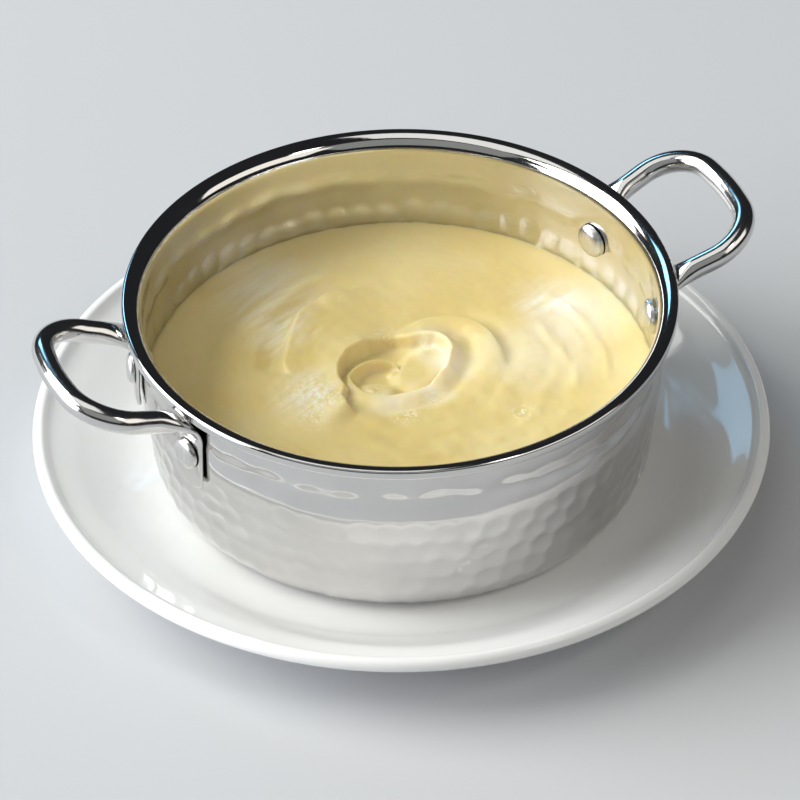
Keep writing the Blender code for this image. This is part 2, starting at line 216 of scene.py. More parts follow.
def turned(outline, sides):
    """Rings of points round Z from an outline of (radius, height): rows x sides x 3."""
    outline = np.array([tuple(point) for point in outline])
    angles = np.arange(sides) * (math.tau / sides)
    radius = outline[:, :1]
    height = np.repeat(outline[:, 1:2], sides, axis=1)
    return np.stack([radius * np.cos(angles), radius * np.sin(angles), height], axis=2)


def piece(name, points, faces, materials, replaced, smooth=True, face_slots=None):
    """A mesh object that rides on the root body and stands for a CAD node."""
    mesh = bpy.data.meshes.new(name)
    mesh.from_pydata(points, [], faces)
    for material in materials:
        mesh.materials.append(material)
    if face_slots is not None:
        mesh.polygons.foreach_set("material_index", face_slots)
    if smooth:
        mesh.shade_smooth()
    mesh.validate()
    made = bpy.data.objects.new(name, mesh)
    bpy.context.scene.collection.objects.link(made)
    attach(made, "root")
    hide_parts(*replaced)
    return made


def ring_faces(rows, sides, close_rows=False):
    """Quads between neighbouring rings of points."""
    row = np.arange(rows if close_rows else rows - 1)
    here = row[:, None] * sides
    there = ((row + 1) % rows)[:, None] * sides
    i = np.arange(sides)[None, :]
    j = (i + 1) % sides
    quads = np.stack([here + i, here + j, there + j, there + i], axis=2)
    return quads.reshape(-1, 4).tolist()


def closed_turned(rings):
    """Points and faces of rings whose first and last are points on the axis."""
    rows, sides, _ = rings.shape
    inner = rings[1:-1].reshape(-1, 3)
    points = np.vstack([inner, rings[0, :1], rings[-1, :1]])
    faces = ring_faces(rows - 2, sides)
    first, last = len(inner), len(inner) + 1
    offset = (rows - 3) * sides
    for i in range(sides):
        j = (i + 1) % sides
        faces.append([first, j, i])
        faces.append([last, offset + i, offset + j])
    return points, faces


# ---------------------------------------------------------------- materials


def potato_spot(across, away, reach):
    """Place of a patch on the potato, glossy or with painted highlights, from millimetres in the swirl's own
    frame.
    """
    flat = Vector((SWIRL_CENTRE.x + across * MM, SWIRL_CENTRE.y + away * MM, 0.0))
    return SWIRL_TURN @ flat + Vector((0.0, 0.0, PAN_BASE + MASH_LEVEL)), reach * MM


# Glossier patches of the potato, which also carry painted white glint specks in its colour.
WET_AND_GLINT_SPOTS = [
    potato_spot(-24.0, -11.0, 10.0),
    potato_spot(-17.0, -14.5, 6.0),
    potato_spot(-23.0, -22.0, 6.0),
    potato_spot(-17.0, 30.0, 4.0),
    potato_spot(-3.0, 14.0, 6.0),
    potato_spot(-7.0, -7.5, 4.0),
    potato_spot(8.0, 11.5, 6.0),
    potato_spot(9.0, -12.5, 7.0),
    potato_spot(2.0, -20.0, 6.0),
    potato_spot(33.0, -19.0, 5.0),
]
# Painted sheen: streaky whitish highlights painted into the potato's colour.
PAINTED_STREAK_SHEEN_SPOTS = [
    potato_spot(-36.0, 36.0, 19.0),
    potato_spot(-33.0, 17.0, 13.0),
    potato_spot(41.0, 31.0, 12.0),
    potato_spot(-24.0, -12.0, 14.0),
]
# Painted sheen: pale whitish highlight patches painted into the potato's colour.
PAINTED_PALE_SHEEN_SPOTS = [
    potato_spot(10.0, 11.0, 9.0),
    potato_spot(14.5, 2.0, 8.0),
    potato_spot(8.0, -9.0, 9.0),
    potato_spot(-2.0, -13.0, 8.0),
    potato_spot(38.0, 6.0, 19.0),
    potato_spot(50.0, 26.0, 19.0),
]


class Nodes:
    """Short ways to build a material's nodes on Object coordinates."""

    def __init__(self, name):
        self.material = bpy.data.materials.new(name)
        self.material.use_nodes = True
        self.tree = self.material.node_tree
        self.shader = self.tree.nodes["Principled BSDF"]
        self.place = self.add("ShaderNodeTexCoord").outputs["Object"]

    def add(self, kind, **settings):
        node = self.tree.nodes.new(kind)
        for key, value in settings.items():
            setattr(node, key, value)
        return node

    def link(self, source, target):
        self.tree.links.new(source, target)

    def noise(self, scale, detail=3.0, stretch=(1.0, 1.0, 1.0), turn=0.0, distortion=0.0):
        mapping = self.add("ShaderNodeMapping", vector_type="TEXTURE")
        mapping.inputs["Scale"].default_value = stretch
        mapping.inputs["Rotation"].default_value = (0.0, 0.0, turn)
        self.link(self.place, mapping.inputs["Vector"])
        noise = self.add("ShaderNodeTexNoise")
        noise.inputs["Scale"].default_value = scale
        noise.inputs["Detail"].default_value = detail
        noise.inputs["Distortion"].default_value = distortion
        self.link(mapping.outputs["Vector"], noise.inputs["Vector"])
        return noise.outputs["Fac"]

    def near(self, *spots):
        """1 round each spot, a (place, reach) pair, fading to 0 at its reach."""
        total = 0.0
        for place, reach in spots:
            node = self.add("ShaderNodeVectorMath", operation="DISTANCE")
            self.link(self.place, node.inputs[0])
            node.inputs[1].default_value = place
            total = self.maths("ADD", self.between(node.outputs["Value"], 1.0, 0.0, 0.0, reach), total)
        return total

    def ramp(self, source, *stops):
        ramp = self.add("ShaderNodeValToRGB")
        elements = ramp.color_ramp.elements
        while len(elements) < len(stops):
            elements.new(0.5)
        for element, (position, colour) in zip(elements, stops):
            element.position = position
            if not hasattr(colour, "__len__"):
                colour = (colour, colour, colour)
            element.color = (*colour, 1.0)
        self.link(source, ramp.inputs["Fac"])
        return ramp.outputs["Color"]

    def between(self, source, low, high, from_low=0.3, from_high=0.7):
        node = self.add("ShaderNodeMapRange")
        node.inputs["From Min"].default_value = from_low
        node.inputs["From Max"].default_value = from_high
        node.inputs["To Min"].default_value = low
        node.inputs["To Max"].default_value = high
        self.link(source, node.inputs["Value"])
        return node.outputs["Result"]

    def maths(self, operation, first, second):
        node = self.add("ShaderNodeMath", operation=operation)
        for socket, value in zip(node.inputs, (first, second)):
            if isinstance(value, (int, float)):
                socket.default_value = value
            else:
                self.link(value, socket)
        return node.outputs["Value"]

    def mixed(self, factor, first, second, blend="MIX"):
        node = self.add("ShaderNodeMix", data_type="RGBA", blend_type=blend)
        for socket, value in ((node.inputs[0], factor), (node.inputs[6], first), (node.inputs[7], second)):
            if isinstance(value, (int, float)):
                socket.default_value = value
            elif isinstance(value, tuple):
                socket.default_value = (*value, 1.0)
            else:
                self.link(value, socket)
        return node.outputs[2]

    def bump(self, height, distance, strength=1.0, after=None):
        node = self.add("ShaderNodeBump")
        node.inputs["Strength"].default_value = strength
        node.inputs["Distance"].default_value = distance
        self.link(height, node.inputs["Height"])
        if after is not None:
            self.link(after, node.inputs["Normal"])
        return node.outputs["Normal"]

    def set(self, **values):
        for key, value in values.items():
            socket = self.shader.inputs[key.replace("_", " ")]
            if hasattr(value, "is_output"):
                self.link(value, socket)
            else:
                socket.default_value = value
        return self.material


def steel_material(name, dull):
    """Stainless steel: faint smudges, hairline scratches and a soft ripple."""
    n = Nodes(name)
    smudge = n.noise(55.0, 4.0)
    grain = n.noise(900.0, 2.0, stretch=(1.0, 1.0, 16.0))
    colour = n.ramp(smudge, (0.3, (0.64, 0.63, 0.62)), (0.7, (0.71, 0.70, 0.69)))
    roughness = n.maths("ADD", n.between(smudge, dull, dull + 0.05), n.between(grain, 0.0, 0.04))
    ripple = n.bump(n.noise(120.0, 2.0), 0.00002)
    return n.set(
        Base_Color=colour,
        Metallic=1.0,
        Roughness=roughness,
        Normal=n.bump(grain, 0.000003, after=ripple),
    )


def porcelain_material():
    """White glazed porcelain with a faintly uneven, slightly worn glaze."""
    n = Nodes("glazed_porcelain")
    broad = n.noise(18.0, 3.0)
    colour = n.ramp(broad, (0.3, (0.89, 0.89, 0.88)), (0.7, (0.92, 0.92, 0.91)))
    roughness = n.between(n.noise(240.0, 4.0), 0.05, 0.10)
    return n.set(
        Base_Color=colour,
        Roughness=roughness,
        IOR=1.44,
        Normal=n.bump(n.noise(60.0, 2.0), 0.00004),
    )


def potato_material():
    """Smooth potato: pale butter yellow, glossier in patches, with painted highlights in its colour (streaky
    and pale sheens, white glint specks), light passing a little way in.
    """
    n = Nodes("mashed_potato")
    broad = n.noise(30.0, 2.0)
    patches = n.noise(70.0, 3.0, distortion=0.5)
    streaks = n.noise(420.0, 3.0, stretch=(7.0, 1.0, 1.0), turn=math.radians(21.0))
    specks = n.noise(1100.0, 2.0)
    # Painted sheen: streaky whitish highlights mixed into the colour.
    painted_streak_sheen = n.maths("MULTIPLY", n.near(*PAINTED_STREAK_SHEEN_SPOTS), n.between(streaks, 0.2, 1.0, 0.4, 0.62))
    # Painted sheen: pale whitish highlight patches mixed into the colour.
    pale = n.maths("MULTIPLY", n.near(*PAINTED_PALE_SHEEN_SPOTS), n.between(patches, 0.55, 1.0, 0.35, 0.6))
    sheen = n.maths("ADD", painted_streak_sheen, pale)
    # Glossier patches lower the roughness; white glint specks are painted into the colour there.
    wet_and_glints = n.maths("MULTIPLY", n.near(*WET_AND_GLINT_SPOTS), n.between(patches, 0.35, 1.0, 0.34, 0.55))
    painted_glints = n.maths("MULTIPLY", n.between(specks, 0.0, 1.0, 0.53, 0.66), wet_and_glints)
    butter = n.ramp(broad, (0.35, (0.78, 0.62, 0.26)), (0.65, (0.83, 0.69, 0.34)))
    # The painted sheens and the painted glint specks are mixed over the butter yellow.
    butter_with_painted_sheen = n.mixed(n.maths("MULTIPLY", sheen, 0.78), butter, (0.97, 0.93, 0.80))
    colour = n.mixed(n.maths("MULTIPLY", painted_glints, 0.85), butter_with_painted_sheen, (1.0, 0.98, 0.92))
    return n.set(
        Base_Color=colour,
        Roughness=n.between(wet_and_glints, 0.36, 0.2, 0.0, 1.0),
        Subsurface_Weight=0.8,
        Subsurface_Radius=(1.0, 0.6, 0.16),
        Subsurface_Scale=0.0022,
        IOR=1.45,
        Normal=n.bump(n.noise(260.0, 2.0), 0.00012, 0.6),
    )


# ---------------------------------------------------------------- plate


def plate_outline():
    """Foot ring, flat well, rising rim and rounded bead, from axis to axis."""
    bead_centre = (PLATE_RADIUS - PLATE_BEAD, PLATE_HEIGHT - PLATE_BEAD)
    underside = WELL_HEIGHT - PLATE_THICKNESS
    foot_inner = FOOT_OUTER - FOOT_WIDTH
    below = [
        (Vector((0.0, underside)), 0.0),
        (Vector((foot_inner - FOOT_FILLET, underside)), 1.2 * MM),
        (Vector((foot_inner, 0.0)), 0.8 * MM),
        (Vector((FOOT_OUTER, 0.0)), 0.8 * MM),
        (Vector((FOOT_OUTER + FOOT_FILLET, underside)), 1.2 * MM),
        (Vector((WELL_RADIUS, underside)), 24.0 * MM),
        (Vector((PLATE_RADIUS - 1.0 * MM, PLATE_HEIGHT - 4.2 * MM)), 0.0),
    ]
    bead = arc(bead_centre, PLATE_BEAD, math.radians(-42), math.radians(118))
    above = [
        (bead[-1], 0.0),
        (Vector((PLATE_RADIUS - 4.2 * MM, PLATE_HEIGHT - 2.0 * MM)), 4.0 * MM),
        (Vector((PLATE_RADIUS - 11.0 * MM, PLATE_HEIGHT - 4.6 * MM)), 30.0 * MM),
        (Vector((WELL_RADIUS + 4.0 * MM, WELL_HEIGHT)), 26.0 * MM),
        (Vector((0.0, WELL_HEIGHT)), 0.0),
    ]
    return spaced(rounded(below)[:-1] + bead + rounded(above)[1:], 1.6 * MM)


def build_plate(material):
    """The plate, its rim very slightly warped out of level."""
    rings = turned(plate_outline(), PLATE_SIDES)
    angles = np.arange(PLATE_SIDES) * (math.tau / PLATE_SIDES)
    outwards = smoothstep(WELL_RADIUS, PLATE_RADIUS, np.hypot(rings[:, :, 0], rings[:, :, 1]))
    rings[:, :, 2] += outwards * 0.12 * MM * (np.cos(2 * angles + 0.7) + 0.6 * np.cos(3 * angles))
    points, faces = closed_turned(rings)
    made = piece("porcelain_plate", points, faces, [material], ["plate"])


# ---------------------------------------------------------------- pan


def wall_radius(height):
    """Outer radius of the pan's wall: widest at its belly, above its underside."""
    if height > BELLY_HEIGHT:
        share = (height - BELLY_HEIGHT) / (NECK_HEIGHT - BELLY_HEIGHT)
        return BELLY_RADIUS + (NECK_RADIUS - BELLY_RADIUS) * share
    return FOOT_RADIUS + (BELLY_RADIUS - FOOT_RADIUS) * height / BELLY_HEIGHT


def row_of_marks(rng, angle, height, marks, shift, middle, size, scatter):
    """Each nearby mark of one row: its strength, and the squared share of its size at places."""
    pitch = math.tau / marks
    sideways = rng.uniform(-0.14, 0.14, marks) * pitch
    up = rng.uniform(-scatter, scatter, marks)
    strength = rng.uniform(0.85, 1.1, marks)
    lean = rng.uniform(-0.15, 0.15, marks)
    nearest = np.round(angle / pitch - shift).astype(int)
    for step in (-1, 0, 1):
        mark = (nearest + step) % marks
        centre = (nearest + step + shift) * pitch + sideways[mark]
        across = (angle - centre) * BELLY_RADIUS
        along = height - middle - up[mark] - lean[mark] * across
        yield strength[mark], (across / size[0]) ** 2 + (along / size[1]) ** 2


def hammer_marks(angle, height):
    """Depth of the hammer marks at places on the wall.

    The top row's marks fade into the wall. Those below meet in faint ridges.
    """
    rng = np.random.default_rng(11)
    top = np.zeros(np.broadcast(angle, height).shape)
    lower = np.zeros_like(top)
    place = (TOP_ROW_SHIFT, TOP_MARKS_HEIGHT, TOP_MARK_SIZE, 0.6 * MM)
    for strength, away in row_of_marks(rng, angle, height, TOP_MARKS, *place):
        top += strength * np.exp(-away)
    for row in range(LOWER_ROWS):
        middle = LOWER_MARKS_HEIGHT - row * LOWER_ROW_STEP
        place = (0.5 * (row % 2) + rng.uniform(-0.2, 0.2), middle, LOWER_MARK_SIZE, 1.0 * MM)
        for strength, away in row_of_marks(rng, angle, height, LOWER_MARKS, *place):
            lower = np.maximum(lower, strength * (1.0 - away))
    return top * TOP_MARK_DEPTH + lower * LOWER_MARK_DEPTH


def pan_outline():
    """Outline of the sheet: underside, wall, lip, inside of the wall and floor."""
    edge = RIM_RADIUS - LIP_RADIUS
    flare = (edge, NECK_HEIGHT)
    curl = (RIM_RADIUS - LIP_CURL, PAN_HEIGHT - LIP_RADIUS - LIP_DROP)
    outside = rounded(
        [
            (Vector((0.0, 0.0)), 0.0),
            (Vector((wall_radius(0.0), 0.0)), CORNER_RADIUS),
            (Vector((BELLY_RADIUS, BELLY_HEIGHT)), BELLY_BEND),
            (Vector((NECK_RADIUS, NECK_HEIGHT)), 0.0),
        ]
    )
    inside = rounded(
        [
            (Vector((NECK_RADIUS - SHEET, NECK_HEIGHT)), 0.0),
            (Vector((BELLY_RADIUS - SHEET, BELLY_HEIGHT)), BELLY_BEND),
            (Vector((wall_radius(SHEET) - SHEET, SHEET)), CORNER_RADIUS - SHEET),
            (Vector((0.0, SHEET)), 0.0),
        ]
    )
    lip = arc(flare, FLARE_RADIUS - SHEET, math.pi, math.radians(124), math.radians(8))
    lip += arc(curl, LIP_CURL, math.radians(190), math.radians(360), math.radians(10))
    lip += arc((edge, PAN_HEIGHT - LIP_RADIUS), LIP_RADIUS, 0.0, math.radians(90), math.radians(8))
    lip += arc(flare, FLARE_RADIUS, math.radians(90), math.pi, math.radians(5))[1:]
    walls = spaced(outside[1:-1] + [lip[0]], 0.95 * MM)
    walls_inside = spaced([lip[-1]] + inside[1:-1], 0.95 * MM)
    return spaced([outside[0], outside[1]], 6 * MM)[:-1] + walls[:-1] + lip[:-1] + walls_inside + [inside[-1]]


def near_rivets(angle, height):
    """1 beside a rivet, where the wall is left smooth, fading to 0."""
    close = np.zeros(np.broadcast(angle, height).shape)
    for side in (0.0, math.pi):
        for turn in (-RIVET_ANGLE, RIVET_ANGLE):
            off = (angle - side - turn + math.pi) % math.tau - math.pi
            across = off * BELLY_RADIUS
            away = np.hypot(across, height - RIVET_HEIGHT)
            close = np.maximum(close, smoothstep(9.5 * MM, 5.5 * MM, away))
    return close


def build_pan(material):
    """The steel pan with its rolled lip and hammered wall."""
    rings = turned(pan_outline(), PAN_SIDES)
    angle = np.arange(PAN_SIDES)[None, :] * (math.tau / PAN_SIDES)
    height = rings[:, :, 2]
    radius = np.hypot(rings[:, :, 0], rings[:, :, 1])
    below_neck = smoothstep(NECK_HEIGHT - 1 * MM, NECK_HEIGHT - 5 * MM, height)
    on_wall = smoothstep(57 * MM, 63 * MM, radius) * below_neck
    marks = hammer_marks(angle, height) * on_wall * (1.0 - near_rivets(angle, height))
    marks[len(marks) // 2 :] *= INSIDE_MARKS
    shrink = 1.0 - marks / np.maximum(radius, MM)
    rings[:, :, 0] *= shrink
    rings[:, :, 1] *= shrink
    rings[:, :, 2] += PAN_BASE
    points, faces = closed_turned(rings)
    made = piece("hammered_pan", points, faces, [material], ["pan"])


# ---------------------------------------------------------------- handles


def tab_point(height, stand_off):
    """Point in front of the wall at the rivets' angle, in the +X handle's frame."""
    radius = wall_radius(height) + stand_off
    return Vector((radius * math.cos(RIVET_ANGLE), radius * math.sin(RIVET_ANGLE), height + PAN_BASE))


def handle_route():
    """Centre line of the +X handle from one tab's end to the other's."""
    stand_off = GAP + TAB_THICKNESS / 2
    outer_height = HANDLE_HEIGHT + PAN_BASE
    half = [
        (tab_point(TAB_END_HEIGHT, stand_off), 0.0),
        (tab_point(BELLY_HEIGHT, stand_off), BELLY_BEND / 2),
        (tab_point(LEG_HEIGHT, stand_off), ROOT_BEND),
        (Vector((HANDLE_REACH - BOW, OUTER_SPREAD, outer_height)), OUTER_BEND),
    ]
    middle = (Vector((HANDLE_REACH, 0.0, outer_height)), BOW_BEND)
    mirrored = [(Vector((p.x, -p.y, p.z)), radius) for p, radius in reversed(half)]
    return spaced(rounded(half + [middle] + mirrored), ROUTE_STEP)


def bar_roundness(distance):
    """0 in the flat tab, rising to 1 in the round bar, by distance from the tab's end."""
    return float(smoothstep(TAB_LENGTH, TAB_LENGTH + FLATTENING, distance))


def section_side(tangent, side, distance):
    """Sideways direction of a section: along the wall in a tab, level in the bar."""
    along_wall = Vector((-math.sin(RIVET_ANGLE), math.copysign(math.cos(RIVET_ANGLE), side), 0.0))
    level = Vector((0.0, 0.0, 1.0)).cross(Vector((tangent.x, tangent.y, 0.0)).normalized())
    across = along_wall.lerp(level, bar_roundness(distance))
    return (across - tangent * across.dot(tangent)).normalized()


def section(distance):
    """Points of the bar's section at a distance from a tab's end: flat, then round."""
    roundness = bar_roundness(distance)
    short = max(0.0, TAB_ROUNDING - distance) / TAB_ROUNDING
    end = 0.25 + 0.75 * math.sqrt(max(0.0, 1.0 - short * short))
    width = TAB_WIDTH * end * (1 - roundness) + BAR_DIAMETER * roundness
    thickness = TAB_THICKNESS * (1 - roundness) + BAR_DIAMETER * roundness
    angles = (np.arange(BAR_SIDES) + 0.5) * (math.tau / BAR_SIDES)
    power = 2.0 / (3.4 - 1.4 * roundness)
    across = width / 2 * np.sign(np.cos(angles)) * np.abs(np.cos(angles)) ** power
    through = thickness / 2 * np.sign(np.sin(angles)) * np.abs(np.sin(angles)) ** power
    return across, through


def build_handle(name, turn, material):
    """A round bar bent to a loop, its ends turned down and hammered flat."""
    route = handle_route()
    along = np.concatenate([[0.0], np.cumsum([(b - a).length for a, b in zip(route, route[1:])])])
    rings = []
    for i, centre in enumerate(route):
        tangent = (route[min(i + 1, len(route) - 1)] - route[max(i - 1, 0)]).normalized()
        distance = min(along[i], along[-1] - along[i])
        across = section_side(tangent, centre.y, distance)
        through = tangent.cross(across)
        a, b = section(distance)
        rings.append(np.array(centre) + np.outer(a, across) + np.outer(b, through))
    rings = np.array(rings)
    rings = np.concatenate([rings[:1].mean(1, keepdims=True).repeat(BAR_SIDES, 1), rings,
                            rings[-1:].mean(1, keepdims=True).repeat(BAR_SIDES, 1)])
    points, faces = closed_turned(rings)
    points = points @ np.array(Matrix.Rotation(-turn, 3, "Z"))
    made = piece(f"bent_{name}", points, faces, [material], [name])


def rivet_place(angle):
    """Place of a rivet: Z runs out through the wall, from the wall's outer face."""
    radius = wall_radius(RIVET_HEIGHT)
    centre = Vector((radius, 0.0, RIVET_HEIGHT + PAN_BASE))
    outward = Matrix.Rotation(math.pi / 2 - WALL_LEAN, 4, "Y")
    return Matrix.Rotation(angle, 4, "Z") @ Matrix.Translation(centre) @ outward


def dome(head, base, direction):
    """Outline of a rivet head from its rounded edge to its apex."""
    radius, rise = head
    power = 2.0 / HEAD_SQUARENESS
    angles = np.linspace(math.pi / 2, 0.0, 18)
    return [
        Vector((radius * math.sin(a) ** power, base + direction * rise * math.cos(a) ** power))
        for a in angles
    ]


def build_rivet(name, angle, material):
    """One rivet: a domed head inside, a shank, and a flatter head on the tab."""
    inner_base = -SHEET - HEAD_SEAT
    outer_base = GAP + TAB_THICKNESS + GAP
    outline = list(reversed(dome(INNER_HEAD, inner_base, -1)))
    outline += [Vector((SHANK_RADIUS, inner_base)), Vector((SHANK_RADIUS, outer_base))]
    outline += dome(OUTER_HEAD, outer_base, 1)
    points, faces = closed_turned(turned(outline, RIVET_SIDES))
    place = np.array(rivet_place(angle))
    points = points @ place[:3, :3].T + place[:3, 3]
    made = piece(f"round_{name}", points, faces, [material], [name])
    made.data.set_sharp_from_angle(angle=math.radians(50))


# ---------------------------------------------------------------- mashed potato


def span(value, low, high, soft_low, soft_high):
    """1 from low to high, fading to 0 over a soft stretch on each side."""
    return smoothstep(low - soft_low, low, value) * smoothstep(high + soft_high, high, value)


def cliff(distance, face, reach):
    """A step up at distance 0 that sinks back to nothing over its reach."""
    return smoothstep(-face, face, distance) * np.exp(-np.maximum(distance, 0.0) / reach)


def turned_from(start, angle, slack):
    """Degrees from start on to angle, from -slack to 360 - slack."""
    return (angle - start + slack) % 360.0 - slack


def lumps(x, y, size, seed, octaves=3):
    """Even unevenness of about -1 to 1, its largest waves size apart."""
    rng = np.random.default_rng(seed)
    total = np.zeros_like(x)
    for octave in range(octaves):
        share = 0.5 ** octave
        wave = math.tau / (size * share)
        for _ in range(5):
            heading = rng.uniform(0.0, math.tau)
            phase = rng.uniform(0.0, math.tau)
            total += share * np.sin(wave * (x * math.cos(heading) + y * math.sin(heading)) + phase)
    return total / (math.sqrt(5) * (2.0 - 0.5 ** (octaves - 1)))


def oval_share(x, y, centre, long, short, lean):
    """Distance from a centre as a share of the radius of an oval about it."""
    across, up = x - centre[0], y - centre[1]
    turn = math.radians(lean)
    along = across * math.cos(turn) + up * math.sin(turn)
    aside = up * math.cos(turn) - across * math.sin(turn)
    return np.hypot(along / long, aside / short)


def curl(x, y, wander):
    """The middle of the swirl: a ring winding out of a tongue, round a low bowl.

    The ring's crest starts inside as the tongue, goes once round the bowl and ends
    at the top. On the left a valley parts it from the high edge that laps over it.
    """
    across, up = x - CURL_CENTRE[0], y - CURL_CENTRE[1]
    angle = np.degrees(np.arctan2(up, across))
    radius = np.hypot(across, up)
    share = np.maximum(oval_share(x, y, CURL_CENTRE, *CURL_OVAL, CURL_LEAN), 0.001)
    oval = np.maximum(radius, 0.01) / share
    turn = turned_from(130.0, angle, 25.0)
    crest = 0.27 + 0.73 * smoothstep(-25.0, 78.0, turn) - 0.08 * bell(turn - 225.0, 40.0)
    crest += 0.02 * bell(turn - 282.0, 35.0) + 0.2 * smoothstep(305.0, 335.0, turn)
    away = radius - crest * oval + 0.25 * wander
    lap = 1.2 + 0.5 * np.maximum(turn - 80.0, 0.0) / 26.0 * smoothstep(80.0, 92.0, turn)
    lapped = radius - lap * oval + 0.25 * wander
    inside = smoothstep(0.3, -1.6, away)
    valley = BOWL_DEPTH * (1.0 - smoothstep(-20.0, 125.0, turn))
    level = -0.9 + 1.1 * smoothstep(-18.0, 25.0, turn) + 0.2 * smoothstep(50.0, 90.0, turn)
    level += 1.1 * smoothstep(175.0, 235.0, turn)
    ends = smoothstep(-24.0, -8.0, turn) * smoothstep(330.0, 285.0, turn)
    width = 1.3 + 3.0 * smoothstep(70.0, 120.0, turn) - 2.0 * smoothstep(175.0, 225.0, turn)
    cap = np.where(away < 0, bell(away, 1.3), np.exp(-((np.maximum(away, 0.0) / width) ** 2)))
    height = (valley + level) * ends * cap - BOWL_DEPTH * inside
    height -= (1.0 - inside) * smoothstep(0.4, -1.3, lapped) * valley
    high = 2.7 * smoothstep(-25.0, 25.0, turn) * smoothstep(112.0, 99.0, turn)
    height += high * smoothstep(-0.9, 0.5, lapped) * np.exp(-np.maximum(lapped - 0.5, 0.0) / 9.0)
    return height - 1.2 * bell(away - 5.6, 2.6) * span(turn, 110.0, 270.0, 40.0, 30.0)


def curl_contents(x, y):
    """What lies in the curl's bowl: a broad swelling, a low lump and small bumps."""
    height = 1.7 * smoothstep(1.2, 0.65, oval_share(x, y, (6.2, 3.6), 10.4, 6.8, 52.0))
    height += 1.5 * smoothstep(1.25, 0.5, oval_share(x, y, (-5.6, -6.2), 6.0, 3.8, -10.0))
    height += mound(x, y, (6.4, 8.6), 0.5, 1.5) + mound(x, y, (-2.4, 1.6), 0.9, 1.2)
    return height + mound(x, y, (-7.4, -7.2), 0.5, 1.4) - mound(x, y, (1.2, -7.0), 0.9, 2.4)


def spiral_edge(radius, angle, wander):
    """The spoon's edge that winds away from the curl, high on its inside, to its end."""
    turn = -turned_from(237.0, angle, 330.0)
    away = radius - 13.5 - 15.6 * smoothstep(122.0, 203.0, turn) - 0.5 * wander
    rise = 2.1 * span(turn, 190.0, 215.0, 50.0, 25.0)
    return rise * (cliff(-away, 0.9, 10.0) - 0.4 * bell(away - 2.2, 2.6))


def outer_edge(radius, angle, wander):
    """The edge of the spoon's last stroke, beyond the curl on one side."""
    turn = -turned_from(174.0, angle, 200.0)
    edge = 32.0 + 6.5 * smoothstep(-5.0, 58.0, turn) - 3.0 * smoothstep(58.0, 80.0, turn)
    away = radius - edge + 7.0 * smoothstep(-2.0, -22.0, turn) - 0.7 * wander
    rise = 2.0 * span(turn, 2.0, 50.0, 18.0, 25.0)
    return rise * (cliff(-away, 1.2, 10.0) - 0.7 * bell(away - 3.4, 3.2))


def streaks(radius, angle, wander):
    """Shallow drag lines and folds that the spoon left further out."""
    outer = radius - 45.0 - smoothstep(160.0, 120.0, angle) - 0.8 * wander
    height = 0.8 * bell(outer, 2.8) * span(angle, 122.0, 148.0, 18.0, 14.0)
    waves = np.cos(math.tau * (radius / 8.6 - np.radians(angle) * 0.64 + 0.25 * wander))
    height += 0.13 * waves * span(angle, -95.0, 0.0, 50.0, 35.0) * span(radius, 22.0, 44.0, 5.0, 12.0)
    inner_fold = radius - 43.2 - 5.0 * smoothstep(24.0, -8.0, angle) - 0.5 * wander
    outer_fold = radius - 54.0 - 2.6 * smoothstep(34.0, 0.0, angle) - 0.6 * wander
    height += 0.45 * bell(inner_fold, 1.6) * span(angle, -6.0, 20.0, 5.0, 10.0)
    height += 0.45 * bell(outer_fold, 1.6) * span(angle, 2.0, 30.0, 8.0, 10.0)
    return height


def mound(x, y, place, height, width):
    """A round rise at a place."""
    return height * bell(np.hypot(x - place[0], y - place[1]), width)


def swirl_relief(x, y):
    """Height of the potato's surface over its level, all in millimetres."""
    radius = np.hypot(x, y)
    angle = np.degrees(np.arctan2(y, x))
    wander = lumps(x, y, 26.0, 3)
    height = 1.2 * bell(radius - 26.0, 18.0) + 0.5 * bell(radius - 46.0, 10.0)
    height += curl(x, y, lumps(x, y, 7.0, 21, 2)) + curl_contents(x, y)
    height += spiral_edge(radius, angle, wander)
    height += outer_edge(radius, angle, wander)
    height += streaks(radius, angle, wander)
    height -= mound(x, y, (-24.0, 29.5), 1.2, 2.6)
    height += 0.22 * lumps(x, y, 22.0, 7) + 0.05 * lumps(x, y, 6.0, 13, 2)
    drags = lumps(radius, 8.0 * np.sin(np.radians(angle)), 2.8, 41, 2)
    upper_left = bell(np.hypot(x + 36.0, y - 24.0), 16.0)
    height += (0.03 + 0.10 * upper_left) * drags * smoothstep(18.0, 26.0, radius)
    wet_bank = np.exp(-(((x + 25.0) / 7.0) ** 2) - ((y + 12.0) / 8.0) ** 2)
    height += 0.12 * wet_bank * lumps(x, y, 2.2, 31, 2)
    return height * smoothstep(67.0, 56.0, radius)


def disc_grid(cells):
    """Points of a square grid spread evenly over the unit disc, and its faces."""
    steps = np.linspace(-1.0, 1.0, cells + 1)
    a, b = np.meshgrid(steps, steps)
    wide = np.abs(a) >= np.abs(b)
    radius = np.where(wide, a, b)
    ratio = np.where(wide, b, a) / np.where(radius == 0, 1.0, radius)
    turn = np.where(wide, math.pi / 4 * ratio, math.pi / 2 - math.pi / 4 * ratio)
    x = radius * np.cos(turn)
    y = radius * np.sin(turn)
    index = np.arange((cells + 1) ** 2).reshape(cells + 1, cells + 1)
    quads = np.stack([index[:-1, :-1], index[:-1, 1:], index[1:, 1:], index[1:, :-1]], axis=2)
    border = np.concatenate([index[0, :-1], index[:-1, -1], index[-1, :0:-1], index[:0:-1, 0]])
    return x.ravel(), y.ravel(), quads.reshape(-1, 4).tolist(), border


